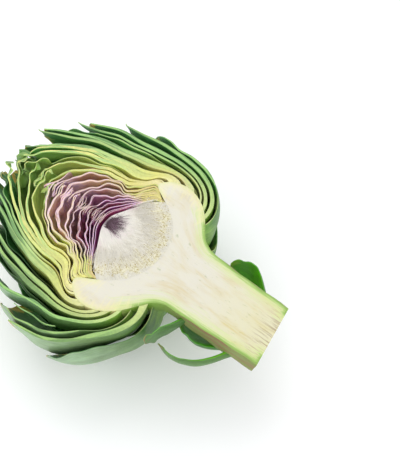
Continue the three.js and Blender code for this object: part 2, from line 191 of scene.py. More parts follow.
COLOURS = {
    "flesh": ("d6d2c2", "Cut flesh of the heart and stem"),
    "flesh_warm": ("c8b67e", "Patches and fibres in the flesh"),
    "rim": ("7fae38", "Green flesh just under the skin"),
    "rim_pale": ("c9d68c", "Pale green flesh further under the skin"),
    "stem_skin": ("7f8f4c", "Skin of the stem"),
    "stem_brown": ("8a6f4c", "Dried fibres of the stem's skin and end"),
    "root": ("e2dba6", "Pale root of a leaf"),
    "cut_yellow": ("b8ca7a", "Cut of a leaf nearer its root"),
    "cut_green": ("92bc66", "Cut of a leaf nearer its tip"),
    "inside_green": ("4b8c3c", "Inner face of a green leaf"),
    "inside_deep": ("37753a", "Inner face of a green leaf near its tip"),
    "young_green": ("54ac04", "Inner face of a leaf on the stem"),
    "outside_green": ("4f7d3a", "Green under the bloom of a leaf"),
    "bloom": ("6a8a58", "Grey-green bloom on the outer face"),
    "bloom_pale": ("8cab84", "Thicker bloom nearer the leaf's tip"),
    "spine": ("b9a24e", "Dry tip of a leaf"),
    "tender_face": ("e0d87a", "Face of a tender leaf"),
    "tender_tip": ("b2d06c", "Face of a tender leaf near its tip"),
    "tender_cut": ("d5cf6c", "Cut of a tender leaf"),
    "purple_old": ("e2c29a", "Face of the outermost purple leaves"),
    "lilac": ("e9c0da", "Pale lower part of a purple leaf"),
    "purple_face": ("c65a9e", "Face of a purple leaf"),
    "purple_deep": ("962e64", "Face of a purple leaf near its tip"),
    "purple_cut": ("ead2b0", "Cut of a purple leaf"),
    "fuzz": ("ebe7dc", "Hairs of the choke"),
    "hair_tip": ("34161f", "Hairs at the tip of the choke"),
    "floret": ("a39150", "Cut floret bases in the choke"),
}

# How each kind of leaf looks. A row of colours runs from the root (0) to the tip (1), and of two rows the
# first is for the oldest leaves of the kind and the second for the youngest. The skin rims the cut. The
# varieties say how far hue and brightness differ from leaf to leaf, if by more than the usual.
FACE_VARIETY, CUT_VARIETY = (0.01, 0.12), (0.01, 0.06)
LEAF_LOOKS = {
    "outer": {
        "name": "Green leaf", "roughness": 0.5, "glow": 0.15, "skin": "outside_green",
        "inside": [
            {0: "root", 0.2: "cut_yellow", 0.36: "inside_green", 0.96: "inside_deep", 1: "spine"},
            {0: "root", 0.3: "tender_face", 0.55: "inside_green", 0.96: "inside_deep", 1: "spine"},
        ],
        "outside": [
            {0: "rim", 0.18: "outside_green", 0.5: "bloom", 0.75: "bloom_pale", 0.95: "bloom_pale", 1: "spine"},
            {0: "root", 0.3: "tender_cut", 0.6: "outside_green", 1: "bloom"},
        ],
        "cut": [
            {0: "rim_pale", 0.1: "cut_yellow", 0.35: "cut_green"},
            {0: "root", 0.2: "tender_cut", 0.45: "cut_yellow", 0.75: "cut_green"},
        ],
    },
    "tender": {
        "name": "Tender leaf", "roughness": 0.45, "glow": 0.45, "skin": "tender_face",
        "inside": [
            {0: "root", 0.22: "tender_face", 0.4: "tender_tip", 0.75: "inside_green"},
            {0: "root", 0.35: "tender_face", 0.6: "tender_face", 1: "tender_tip"},
        ],
        "outside": [
            {0: "root", 0.25: "tender_cut", 0.5: "tender_tip", 1: "outside_green"},
            {0: "root", 0.45: "tender_cut", 0.8: "tender_tip"},
        ],
        "cut": [
            {0: "root", 0.15: "tender_cut", 0.34: "cut_yellow", 0.6: "cut_green"},
            {0: "root", 0.3: "tender_cut", 0.5: "cut_yellow", 0.9: "cut_green"},
        ],
    },
    "purple": {
        "name": "Purple leaf", "roughness": 0.45, "glow": 0.4, "skin": "lilac",
        "face_variety": (0.045, 0.28), "cut_variety": (0.03, 0.12),
        "inside": [
            {0: "tender_cut", 0.5: "tender_face", 0.72: "purple_old", 1: "lilac"},
            {0.26: "tender_cut", 0.42: "lilac", 0.62: "purple_face", 1: "purple_deep"},
        ],
        "outside": [
            {0.4: "tender_cut", 0.6: "purple_old"},
            {0.26: "tender_cut", 0.4: "lilac", 0.55: "purple_face", 0.85: "purple_deep"},
        ],
        "cut": [
            {0.45: "tender_cut", 0.7: "purple_cut"},
            {0.28: "tender_cut", 0.42: "lilac", 0.8: "lilac", 1: "purple_cut"},
        ],
    },
    "stem": {
        "name": "Stem leaf", "roughness": 0.5, "glow": 0.25, "skin": "outside_green",
        "inside": [{0.85: "young_green", 1: "rim"}],
        "outside": [{0.92: "outside_green", 1: "stem_brown"}],
        "cut": [{0: "cut_yellow", 0.6: "cut_green", 1: "outside_green"}],
    },
}

# The camera, in millimetres and degrees
CAMERA_TARGET = Vector((FOOT_X, AXIS_Y + 20.5, CUT_HEIGHT))
CAMERA_DISTANCE = 520
CAMERA_TURN = 37.4
CAMERA_RISE = 62
CAMERA_LENS = 100

# The stage: half the floor's side, and the lamps' places from the camera's target and sizes, in metres,
# and their power, in watts
FLOOR_HALF = 4
FLOOR_COLOUR = (0.97, 0.97, 0.97)
SKY_COLOUR = (0.97, 0.98, 1.0, 1)
SKY_POWER = 1.0
LAMPS = {"key": ((-0.55, 0.35, 0.9), 0.9, 3.7), "fill": ((0.1, -0.9, 0.5), 0.7, 2)}


def linear(code):
    """A colour written as six hexadecimal digits, as linear numbers for a shader."""
    parts = [int(code[i : i + 2], 16) / 255 for i in (0, 2, 4)]
    return tuple(c / 12.92 if c <= 0.04045 else ((c + 0.055) / 1.055) ** 2.4 for c in parts)


class ArtichokeSizes(bpy.types.PropertyGroup):
    """Sizes that can be changed before the pieces are made."""

    waviness: FloatProperty(
        name="Waviness", description="How far the free edges of the leaves wave",
        default=0.0011, min=0, max=0.003, unit="LENGTH",
    )
    sway: FloatProperty(
        name="Sway", description="How far neighbouring leaves bend to and fro together",
        default=0.0007, min=0, max=0.002, unit="LENGTH",
    )
    crumple: FloatProperty(
        name="Crumple", description="How far the crowded leaves over the choke wrinkle together",
        default=0.0013, min=0, max=0.003, unit="LENGTH",
    )
    strands: IntProperty(
        name="Strands", description="Hairs that show on the cut choke", default=1500, min=0, max=5000
    )
    florets: IntProperty(
        name="Florets", description="Cut floret bases along the dish", default=1100, min=0, max=2000
    )


class ArtichokeColours(bpy.types.PropertyGroup):
    """Colours of the flesh, the leaves and the choke."""

    __annotations__ = {
        name: FloatVectorProperty(
            name=name.replace("_", " ").capitalize(), description=description, subtype="COLOR", size=3,
            min=0, max=1, default=linear(code),
        )
        for name, (code, description) in COLOURS.items()
    }


# ---------------------------------------------------------------- shapes


def smoothstep(value, low, high):
    share = np.clip((value - low) / (high - low), 0, 1)
    return share * share * (3 - 2 * share)


def blend(table, at):
    """Blends a table of (place, value) rows."""
    return np.interp(at, [place for place, _ in table], [value for _, value in table])


def curve_through(points):
    """A smooth curve through some points, and how far along it each of its points is."""
    line = np.array(points, float)
    ends = np.vstack([line[:1], line, line[-1:]])
    t = np.linspace(0, 1, CURVE_STEPS, endpoint=False)[:, None]
    pieces = []
    for before, start, stop, after in zip(ends, ends[1:], ends[2:], ends[3:]):
        leave, arrive = (stop - before) / 2, (after - start) / 2
        pieces.append(
            (2 * start - 2 * stop + leave + arrive) * t**3
            + (3 * stop - 3 * start - 2 * leave - arrive) * t**2
            + leave * t
            + start
        )
    path = np.vstack([*pieces, line[-1:]])
    steps = np.linalg.norm(np.diff(path, axis=0), axis=1)
    return path, np.concatenate([[0], np.cumsum(steps)])


def smooth_blend(table, at):
    """Blends a table of (place, value) rows without corners."""
    path, _ = curve_through(table)
    return np.interp(at, path[:, 0], path[:, 1])


def head_line(leaf):
    """The line of one leaf of the head, blended smoothly between the rows of LEAF_LINES."""
    numbers = list(LEAF_LINES)
    lines = [np.array(line, float) for line in LEAF_LINES.values()]
    k = min(max(int(np.searchsorted(numbers, leaf, side="right")), 1), len(numbers) - 1)
    span = numbers[k] - numbers[k - 1]
    first, last = k == 1, k == len(numbers) - 1
    before, gap_before = (lines[k], span) if first else (lines[k - 2], numbers[k - 1] - numbers[k - 2])
    after, gap_after = (lines[k - 1], span) if last else (lines[k + 1], numbers[k + 1] - numbers[k])
    low, high = span / (2 * gap_before), span / (2 * gap_after)
    p = (leaf - numbers[k - 1]) / span
    line = (
        (-low * p**3 + 2 * low * p**2 - low * p) * before
        + ((1 + low) * p**3 - (1.5 + 2 * low) * p**2 + (low - 0.5) * p + 1) * lines[k - 1]
        + (-(1 + high) * p**3 + (1.5 + high) * p**2 + 0.5 * p) * lines[k]
        + (high * p**3 - high * p**2) * after
    )
    if leaf >= FIRST_CLOSED:
        line[-1, 1] = 0
    line[:, 1] += SPRUNG.get(leaf, 0) * smoothstep(line[:, 0], *SPRUNG_STRETCH)
    return line


def place(along, out, turn):
    """Points of the head in millimetres. The turn is in radians here."""
    loose_side = smoothstep(-np.cos(turn), 0.1, 1) * smoothstep(along, *OPENING_STRETCH)
    opening = loose_side * (OPENING + OPENING_OUTSIDE * smoothstep(out, *OUTSIDE))
    pressing = PRESS * np.maximum(0, np.sin(turn)) ** 2 * smoothstep(along, *PRESS_STRETCH)
    reach = out * (1 + opening - pressing)
    droop = STEM_DROP * smoothstep(-along, *DROP_STRETCH)
    return np.stack(
        [FOOT_X - along, AXIS_Y + reach * np.cos(turn), AXIS_HEIGHT - droop - reach * np.sin(turn)], -1
    )


def sway_of(along, out, turn):
    """How far the leaves of one spot stand out together, from -1 to 1: they lean alike and never meet."""
    grown = smoothstep(along, *SWAY_STRETCH)
    slow = np.sin(0.17 * along + 2.1 * np.cos(turn) + 0.06 * out)
    quick = np.sin(0.37 * along - 1.7 * np.sin(turn) + 0.13 * out + 1.3)
    return grown * (0.6 * slow + 0.4 * quick)


def crumple_of(along, out, turn):
    """How far the crowded leaves over the choke stand out together: small wrinkles, and uneven gaps."""
    from_dish = np.hypot(along - DISH_MIDDLE, out)
    grown = smoothstep(from_dish, *CRUMPLE_FROM_DISH) * smoothstep(along, *CRUMPLE_STRETCH)
    side = np.cos(turn) * np.minimum(1, out / 6)
    layer = np.hypot(along - LAYERS_MIDDLE, 1.15 * out)
    angle = np.arctan2(out, along - LAYERS_MIDDLE)
    gaps = np.sin(0.66 * layer + 2.2 * side + 1.1 * np.sin(3 * angle + side))
    wrinkles = np.sin(15 * angle + 0.33 * layer + 2 * side) + 0.6 * np.sin(27 * angle - 0.4 * layer - side)
    return grown * (0.55 * gaps + 0.4 * wrinkles)


class Blade:
    """One leaf: its line, its width and its thickness, and where each of its points lies."""

    def __init__(
        self, line, turn, spread, thickness, neighbours=(), crown=None, sway=0, crumple=0, waves=0, curls=0,
        flaring=1, seed=0,
    ):
        start, step = np.array(line[0], float), np.subtract(line[0], line[1])
        start += ROOT_DEPTH * step / np.linalg.norm(step)
        self.path, self.travelled = curve_through([start, *line[1:]])
        self.length = self.travelled[-1]
        self.turn = math.radians(turn)
        self.spread = spread
        self.sway = sway
        self.crumple = crumple
        self.waves = waves
        self.curls = curls
        self.thickness = thickness
        self.neighbours = [curve_through(neighbour)[0] for neighbour in neighbours]
        self.random = np.random.default_rng(seed)
        self.phase = self.random.uniform(0, 2 * math.pi, 4)
        self.flare = self.random.uniform(-0.35, 1) * flaring
        closing = self.random.uniform(0.3, 1.1)
        self.crown = crown and [(at * closing if at < 0 else at, width) for at, width in crown]

    def distance_left(self, up):
        past = self.crown[0][0] if self.crown else 0
        return self.length + (past - self.length) * up

    def spot(self, across, up):
        """Where points of the leaf's middle lie on the head, as (along, out, turn)."""
        distance = self.distance_left(up)
        angle = across * np.radians(smooth_blend(self.spread, 1 - distance / self.length))
        if self.crown:
            share = smoothstep(CROWN_START - distance, 0, CROWN_START / 2)
            near = distance * np.cos(angle) * (1 - share) + distance * share
            aside = distance * np.sin(angle) * (1 - share) + across * blend(self.crown, distance) * share
            distance, angle = np.hypot(near, aside), np.arctan2(aside, near)
        here = np.clip(self.length - distance, 0, self.length)
        along = np.interp(here, self.travelled, self.path[:, 0])
        out = np.interp(here, self.travelled, self.path[:, 1])
        return along, out, self.turn + angle

    def depth(self, across, up):
        """The leaf's thickness, in millimetres."""
        share = np.clip(1 - self.distance_left(up) / self.length, 0, 1)
        depth = smooth_blend(self.thickness, share)
        if self.neighbours:
            here = share * self.length
            spot = np.stack([np.interp(here, self.travelled, self.path[:, i]) for i in (0, 1)], -1)
            beside = [
                np.linalg.norm(spot[:, None] - path[None], axis=2).min(1) for path in self.neighbours
            ]
            depth = np.minimum(depth, blend(ROOM, np.min(beside, axis=0)))
        if self.crown:
            depth = np.minimum(depth, 0.45 + 0.1 * np.maximum(0, self.distance_left(up) - 4))
        edge = np.minimum(EDGE_THICKNESS, depth)
        return edge + (depth - edge) * (1 - across**4)

    def wave(self, across, up):
        """How far the leaf's surface stands out of its smooth shape: the free edges and the tip wave."""
        a, b, c, d = self.phase
        side = np.where(across < 0, a, b)
        free = smoothstep(up, 0.35, 0.95)
        edge = np.abs(across) ** 2.5 * np.sin(2 * math.pi * (2.6 * up) + side)
        quick = np.abs(across) ** 3 * 0.45 * np.sin(2 * math.pi * (6.3 * up) + c + side)
        flare = self.flare * smoothstep(up, 0.6, 1) ** 2
        whole = 0.35 * np.sin(2 * math.pi * (1.7 * up + 0.35 * across) + d)
        tip = smoothstep(up, 0.8, 0.97) * np.sin(2 * math.pi * (9 * up + 0.4 * across) + b)
        return self.waves * (free * (edge + quick + whole) + flare + self.curls * tip)

    def points(self, across, up, face):
        """Points of both faces, in metres. `face` is 1 outside and -1 inside."""
        sideways = place(*self.spot(across + SLOPE_STEP, up)) - place(*self.spot(across - SLOPE_STEP, up))
        onwards = place(*self.spot(across, up + SLOPE_STEP)) - place(*self.spot(across, up - SLOPE_STEP))
        normal = np.cross(sideways, onwards)
        normal /= np.linalg.norm(normal, axis=1, keepdims=True)
        spot = self.spot(across, up)
        shared = self.sway * sway_of(*spot) + self.crumple * crumple_of(*spot)
        offset = face * self.depth(across, up) / 2 + self.wave(across, up) + shared
        spots = place(*spot) + normal * offset[:, None]
        spots[:, 2] = np.maximum(spots[:, 2], 0)
        return spots * MM


def only(kind, items):
    return [item for item in items if isinstance(item, kind)]


def cut_away(bm, spot, normal):
    """Cuts off what a closed mesh has past a plane, closes the cut, and returns the new faces."""
    cut = bmesh.ops.bisect_plane(
        bm,
        geom=[*bm.verts, *bm.edges, *bm.faces],
        plane_co=[number * MM for number in spot],
        plane_no=normal,
        clear_outer=True,
    )
    edges = only(bmesh.types.BMEdge, cut["geom_cut"])
    return bmesh.ops.holes_fill(bm, edges=edges, sides=0)["faces"] if edges else []


def cut_level(bm, height):
    """Cuts a closed mesh off at a height, and returns the new faces."""
    return cut_away(bm, (0, 0, height), (0, 0, 1))


def corners_of(faces):
    """The corners of some faces, each of them once."""
    return list(dict.fromkeys(vert for face in faces for vert in face.verts))


def refine_level(bm, faces, pitch):
    """Divides flat level faces by a square grid, so that their insides have points, and returns them."""
    triangles = bmesh.ops.triangulate(bm, faces=faces)["faces"]
    verts = corners_of(triangles)
    corners = np.array([vert.co for vert in verts])
    geometry = [*verts, *dict.fromkeys(edge for face in triangles for edge in face.edges), *triangles]
    for axis, normal in enumerate(((1, 0, 0), (0, 1, 0))):
        low, high = corners[:, axis].min(), corners[:, axis].max()
        for at in np.arange(low, high, pitch * MM)[1:]:
            spot = Vector(normal) * at
            cut = bmesh.ops.bisect_plane(bm, geom=geometry, plane_co=spot, plane_no=normal)
            geometry = cut["geom"]
    return only(bmesh.types.BMFace, geometry)


def sharpen(bm):
    """Shades smooth across gentle bends and keeps the others sharp."""
    for face in bm.faces:
        face.smooth = True
    for edge in bm.edges:
        edge.smooth = edge.is_manifold and edge.calc_face_angle(0) < math.radians(SHARP_ANGLE)


def piece_from(bm, name, materials, slot, *nodes):
    """Makes a finished piece of a bmesh, which stands for the nodes named."""
    mesh = bpy.data.meshes.new(name)
    bm.to_mesh(mesh)
    bm.free()
    for material in materials:
        mesh.materials.append(material)
    piece = bpy.data.objects.new(name, mesh)
    bpy.context.scene.collection.objects.link(piece)
    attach(piece, "root")
    if nodes:
        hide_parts(*nodes)
    return piece


def leaf_piece(name, nodes, slot, blade, age, sink, materials, columns, rows):
    """The piece of one leaf: a grid with two faces, laid along the blade and cut off level."""
    bm = bmesh.new()
    bmesh.ops.create_grid(bm, x_segments=columns, y_segments=rows, size=1)
    grown = bmesh.ops.extrude_face_region(bm, geom=bm.faces[:])["geom"]
    bmesh.ops.translate(bm, verts=only(bmesh.types.BMVert, grown), vec=(0, 0, 1))
    across, up, face = np.array([vert.co for vert in bm.verts]).T
    up, face = (up + 1) / 2, 2 * face - 1
    spots = blade.points(across, up, face)
    share = 1 - blade.distance_left(up) / blade.length
    leaf_place = bm.verts.layers.float_vector.new("leaf_place")
    leaf_nature = bm.verts.layers.float_vector.new("leaf_nature")
    chance = blade.random.uniform(0, 1)
    for i, vert in enumerate(bm.verts):
        vert.co = spots[i]
        vert[leaf_place] = (across[i], share[i], face[i])
        vert[leaf_nature] = (age, chance, blade.length * share[i] / 100)
    for cap in cut_level(bm, CUT_HEIGHT - sink):
        cap.material_index = 1
    bmesh.ops.recalc_face_normals(bm, faces=bm.faces[:])
    sharpen(bm)
    if bm.verts:
        return piece_from(bm, name, materials, slot, *nodes)
    bm.free()


def turned_body(outline, steps):
    """A body turned round the head's axis from (along, out) points, with ribs along the stem."""
    path, _ = curve_through(outline)
    bm = bmesh.new()
    line = [(path[0][0], 0), *path[::4], (path[-1][0], 0)]
    verts = [bm.verts.new((along, max(out, 0), 0)) for along, out in line]
    edges = [bm.edges.new(pair) for pair in zip(verts, verts[1:])]
    bmesh.ops.spin(
        bm, geom=verts + edges, cent=(0, 0, 0), axis=(1, 0, 0), angle=2 * math.pi, steps=steps, use_merge=True
    )
    bmesh.ops.remove_doubles(bm, verts=bm.verts[:], dist=1e-3)
    bmesh.ops.dissolve_degenerate(bm, edges=bm.edges[:], dist=1e-4)
    along, y, z = np.array([vert.co for vert in bm.verts]).T
    out, turn = np.hypot(y, z), np.arctan2(-z, y)
    on_stem = smoothstep(-along, 6, 16) * (out > 0)
    fine = 0.08 * np.sin(37 * turn + 0.05 * along) + 0.05 * np.sin(61 * turn + 2)
    fine += 0.3 * np.sin(0.31 * along + 2 * turn) * np.sin(0.17 * along + 3 * turn)
    spots = place(along, out + on_stem * (RIB_HEIGHT * np.cos(RIB_COUNT * turn) + fine), turn) * MM
    for vert, spot in zip(bm.verts, spots):
        vert.co = spot
    bmesh.ops.recalc_face_normals(bm, faces=bm.faces[:])
    return bm


# ---------------------------------------------------------------- finishes


class Finish:
    """A material that is being put together from nodes."""

    def __init__(self, name, roughness, **settings):
        self.material = bpy.data.materials.new(name)
        self.material.use_nodes = True
        self.tree = self.material.node_tree
        self.shader = self.tree.nodes["Principled BSDF"]
        self.shader.inputs["Roughness"].default_value = roughness
        for socket, value in settings.items():
            self.shader.inputs[socket.replace("_", " ")].default_value = value

    def shine_through(self, weight):
        """Lets light scatter under the surface, as it does in thin leaves and in wet flesh."""
        self.shader.inputs["Subsurface Weight"].default_value = weight
        self.shader.inputs["Subsurface Radius"].default_value = (1.0, 1.0, 0.4)
        self.shader.inputs["Subsurface Scale"].default_value = 2 * MM

    def node(self, kind, *inputs, **settings):
        """A node with its settings and its inputs: numbers, colours or sockets, in order."""
        node = self.tree.nodes.new("ShaderNode" + kind)
        for key, value in settings.items():
            setattr(node, key, value)
        for socket, value in zip(node.inputs, inputs):
            self.feed(socket, value)
        return node

    def feed(self, socket, value):
        if isinstance(value, bpy.types.NodeSocket):
            self.tree.links.new(value, socket)
        elif socket.type == "RGBA":
            socket.default_value = (*value, 1)
        else:
            socket.default_value = value

    def sum(self, operation, *values):
        return self.node("Math", *values, operation=operation).outputs[0]

    def scaled(self, value, factor):
        return self.sum("MULTIPLY", value, factor)

    def vector(self, x, y, z):
        return self.node("CombineXYZ", x, y, z).outputs[0]

    def parts(self, vector):
        """The three numbers of a vector."""
        return self.node("SeparateXYZ", vector).outputs

    def attribute(self, name, output="Fac"):
        """What the points of the piece note under a name: a number, or a vector."""
        return self.node("Attribute", attribute_name=name, attribute_type="GEOMETRY").outputs[output]

    def spot(self):
        """The place on the head in millimetres: along it, aside from its axis and over its axis."""
        x, y, z = (self.scaled(part, 1 / MM) for part in self.parts(self.node("TexCoord").outputs["Object"]))
        along = self.sum("SUBTRACT", FOOT_X, x)
        return along, self.sum("SUBTRACT", y, AXIS_Y), self.sum("SUBTRACT", z, AXIS_HEIGHT)

    def range(self, value, low, high, to_low=0.0, to_high=1.0):
        """A number taken smoothly from one range to another."""
        node = self.node("MapRange", interpolation_type="SMOOTHSTEP")
        for socket, number in zip(node.inputs, (value, low, high, to_low, to_high)):
            self.feed(socket, number)
        return node.outputs[0]

    def noise(self, vector, scale, detail=3.0, roughness=0.55, distortion=0.0):
        node = self.node("TexNoise")
        for name, value in (
            ("Vector", vector), ("Scale", scale), ("Detail", detail),
            ("Roughness", roughness), ("Distortion", distortion),
        ):
            self.feed(node.inputs[name], value)
        return node.outputs[0]

    def grain(self, spot, fineness, *look):
        """Noise over three numbers, each with its own fineness: streaks, where they differ."""
        vector = self.node("VectorMath", self.vector(*spot), fineness, operation="MULTIPLY").outputs[0]
        return self.noise(vector, 1.0, *look)

    def ramp(self, value, stops):
        """A colour ramp of (place, colour) stops."""
        node = self.node("ValToRGB", value)
        elements = node.color_ramp.elements
        while len(elements) < len(stops):
            elements.new(1)
        for element, (at, colour) in zip(elements, stops):
            element.position = at
            element.color = (*colour, 1)
        return node.outputs[0]

    def mix(self, factor, first, second, way="MIX"):
        node = self.node("Mix", data_type="RGBA", blend_type=way)
        self.feed(node.inputs[0], factor)
        self.feed(node.inputs[6], first)
        self.feed(node.inputs[7], second)
        return node.outputs[2]

    def shaded(self, colour, grain, low, high, dark, light):
        """A colour that a grain darkens and lightens."""
        shade = self.range(grain, low, high, dark, light)
        return self.mix(1.0, colour, self.vector(shade, shade, shade), "MULTIPLY")

    def varied(self, colour, chance, hue, value):
        """A colour that differs a little from leaf to leaf."""
        turned = self.range(chance, 0.0, 1.0, 0.5 - hue, 0.5 + hue)
        other_chance = self.sum("FRACT", self.scaled(chance, 7.0))
        lighter = self.range(other_chance, 0.0, 1.0, 1 - value, 1 + value)
        return self.node("HueSaturation", turned, 1.0, lighter, 1.0, colour).outputs[0]

    def aged(self, rows, share, age, colours):
        """A colour along a leaf, between those of the oldest and of the youngest leaf of its kind."""
        old, young = (
            self.ramp(share, [(at, getattr(colours, name)) for at, name in row.items()])
            for row in (rows[0], rows[-1])
        )
        return self.mix(age, old, young)

    def finish(self, colour, height=None, strength=0.3, distance=0.0003):
        self.feed(self.shader.inputs["Base Color"], colour)
        if height is not None:
            bump = self.node("Bump")
            self.feed(bump.inputs["Height"], height)
            bump.inputs["Strength"].default_value = strength
            bump.inputs["Distance"].default_value = distance
            self.feed(self.shader.inputs["Normal"], bump.outputs[0])
        return self.material


def leaf_face_finish(look, colours):
    """The two faces of a leaf, with a grain that is fine across it and runs long along it."""
    finish = Finish(look["name"], look["roughness"], Coat_Weight=0.08, Coat_Roughness=0.35)
    finish.shine_through(look["glow"])
    across, share, face = finish.parts(finish.attribute("leaf_place", "Vector"))
    age, chance, length = finish.parts(finish.attribute("leaf_nature", "Vector"))
    grain = finish.grain((across, length, chance), (26, 25, 40), 4, 0.6, 0.2)
    drift = finish.grain((across, share, chance), (2.4, 6, 1.5))
    wander = finish.sum("ADD", share, finish.range(drift, 0.3, 0.7, -0.07, 0.07))
    inside, outside = (finish.aged(look[side], wander, age, colours) for side in ("inside", "outside"))
    colour = finish.mix(finish.range(face, -0.9, 0.9), inside, outside)
    lit = finish.mix(1, colour, (1, 1, 0.8), "SOFT_LIGHT")
    colour = finish.mix(finish.range(grain, 0.35, 0.68, 0, 0.3), colour, lit)
    clouds = finish.grain((across, share, chance), (3, 3, 3))
    colour = finish.shaded(colour, clouds, 0.3, 0.7, 0.82, 1.12)
    colour = finish.varied(colour, chance, *look.get("face_variety", FACE_VARIETY))
    return finish.finish(colour, grain, 0.5, 0.0004)


def leaf_cut_finish(look, colours):
    """The cut through a leaf: pale inside, with a thin skin on both sides."""
    finish = Finish(look["name"] + ", cut", 0.42, Coat_Weight=0.15, Coat_Roughness=0.25)
    finish.shine_through(0.25)
    _, share, face = finish.parts(finish.attribute("leaf_place", "Vector"))
    age, chance, _ = finish.parts(finish.attribute("leaf_nature", "Vector"))
    colour = finish.aged(look["cut"], share, age, colours)
    depth = finish.sum("ABSOLUTE", face)
    rim = finish.scaled(finish.range(depth, 0.55, 1), finish.range(share, 0.15, 0.6, 0.15, 0.75))
    colour = finish.mix(rim, colour, getattr(colours, look["skin"]))
    fibres = finish.grain((share, face, chance), (60, 2.2, 1))
    colour = finish.shaded(colour, fibres, 0.3, 0.72, 0.9, 1.08)
    colour = finish.varied(colour, chance, *look.get("cut_variety", CUT_VARIETY))
    return finish.finish(colour, fibres, 0.4, 0.0002)


def leaf_finishes(kind, colours):
    look = LEAF_LOOKS[kind]
    return leaf_face_finish(look, colours), leaf_cut_finish(look, colours)


def flesh_finish(colours):
    """Cut flesh of the heart and stem: fibres that run up the stem and fan out into the heart."""
    finish = Finish("Cut flesh", 0.5, Coat_Weight=0.12, Coat_Roughness=0.3)
    finish.shine_through(0.2)
    along, aside, _ = finish.spot()
    half_width = finish.range(along, -10, 14, 14.5, 31)
    flow = finish.sum("DIVIDE", aside, half_width)
    fibres = finish.grain((flow, along, 0), (22, 0.07, 1), 5, 0.65, 0.4)
    patches = finish.grain((flow, along, 3), (3.2, 0.055, 1))
    threads = finish.range(fibres, 0.3, 0.75, 0.25, 1)
    warm = finish.scaled(finish.range(patches, 0.42, 0.72, 0, 0.9), threads)
    colour = finish.mix(warm, colours.flesh, colours.flesh_warm)
    specks = finish.grain((flow, along, 9), (14, 0.3, 1), 4)
    colour = finish.mix(finish.range(specks, 0.6, 0.74, 0, 0.4), colour, colours.stem_skin)
    colour = finish.mix(finish.range(along, -8, -52, 0, 0.3), colour, colours.tender_cut)
    dried = finish.scaled(finish.range(along, -40, -53, 0, 0.7), finish.range(fibres, 0.46, 0.62))
    colour = finish.mix(dried, colour, colours.stem_brown)
    ragged = finish.scaled(finish.attribute("from_skin"), finish.range(fibres, 0.25, 0.75, 0.45, 1.6))
    for near, far, strength, rim in (
        (0.5, 6, 0.8, colours.rim_pale), (0.2, 2.2, 0.9, colours.rim), (0.1, 0.8, 0.5, colours.stem_skin),
    ):
        colour = finish.mix(finish.range(ragged, near, far, strength, 0), colour, rim)
    from_roots = finish.attribute("from_roots")
    around = finish.sum("ARCTAN2", aside, finish.sum("SUBTRACT", along, 12))
    veins = finish.grain((around, from_roots, 5), (24, 0.12, 1), 3, 0.6)
    reach = finish.scaled(from_roots, finish.range(veins, 0.3, 0.7, 1.9, 0.5))
    colour = finish.mix(finish.range(reach, 0, 5.5, 0.65, 0), colour, colours.root)
    colour = finish.mix(finish.range(reach, 0, 1.6, 0.4, 0), colour, colours.rim_pale)
    return finish.finish(colour, fibres, 0.35, 0.0004)


def stem_skin_finish(colours):
    """Skin of the stem: ribbed, green near the head and dry and brown towards the end."""
    finish = Finish("Stem skin", 0.62)
    along, aside, over = finish.spot()
    turn = finish.sum("ARCTAN2", over, aside)
    grain = finish.grain((turn, along, 1), (9, 0.05, 1), 5, 0.65, 0.3)
    dry = finish.scaled(finish.range(grain, 0.4, 0.62), finish.range(along, 0, -22, 0.1, 1))
    colour = finish.mix(dry, colours.stem_skin, colours.stem_brown)
    colour = finish.mix(finish.range(along, -26, 2, 0, 0.8), colour, colours.rim)
    colour = finish.mix(finish.range(along, 0, 6), colour, colours.root)
    return finish.finish(colour, grain, 0.7, 0.0006)


def choke_finish(colours):
    """The felt of cut hairs in the dish: streaks that run towards the tip of the cone."""
    finish = Finish("Choke felt", 0.85, Sheen_Weight=0.25, Sheen_Roughness=0.5)
    along, aside, _ = finish.spot()
    ahead = finish.sum("SUBTRACT", 40, along)
    fan = finish.sum("ARCTAN2", aside, ahead)
    streaks = finish.grain((fan, ahead, 0), (60, 0.22, 1), 4, 0.65, 0.3)
    clumps = finish.grain((along, aside, 0), (0.25, 0.25, 1))
    drift = finish.sum("ADD", finish.attribute("from_dish"), finish.range(clumps, 0.3, 0.7, -2.5, 2.5))
    base = finish.mix(finish.range(drift, 0, 5), colours.flesh, colours.fuzz)
    colour = finish.shaded(base, streaks, 0.25, 0.75, 0.84, 1.05)
    dots = finish.grain((along, aside, 7), (1.5, 1.5, 1.5), 3, 0.75)
    band = finish.scaled(finish.range(drift, 0.5, 4), finish.range(drift, 12, 6))
    colour = finish.mix(finish.scaled(band, 0.3), colour, colours.tender_cut)
    speckled = finish.scaled(finish.range(dots, 0.48, 0.6, 0, 0.85), band)
    colour = finish.mix(speckled, colour, colours.floret)
    from_tip = finish.vector(finish.sum("SUBTRACT", along, CHOKE_TIP), aside, 0)
    from_tip = finish.node("VectorMath", from_tip, operation="LENGTH").outputs["Value"]
    dark = finish.range(streaks, 0.35, 0.6, 0.6, 1)
    tip = finish.scaled(finish.range(from_tip, 3.4, 1.2, 0, 0.95), dark)
    colour = finish.mix(tip, colour, colours.hair_tip)
    flanks = finish.scaled(finish.range(drift, 15, 21, 0, 0.35), finish.range(streaks, 0.45, 0.6))
    colour = finish.mix(flanks, colour, colours.lilac)
    return finish.finish(colour, streaks, 0.8, 0.0006)


def hair_finish(colours):
    """Hairs of the choke, dark towards the end where they near the tip of the cone."""
    finish = Finish("Choke hair", 0.7, Sheen_Weight=0.2)
    stops = [(0, colours.fuzz), (0.4, colours.lilac), (1, colours.hair_tip)]
    return finish.finish(finish.ramp(finish.attribute("purple"), stops))


def floret_finish(colours):
    finish = Finish("Floret", 0.6)
    spots = finish.noise(finish.node("TexCoord").outputs["Object"], 900)
    return finish.finish(finish.mix(finish.range(spots, 0.4, 0.7), colours.floret, colours.fuzz))


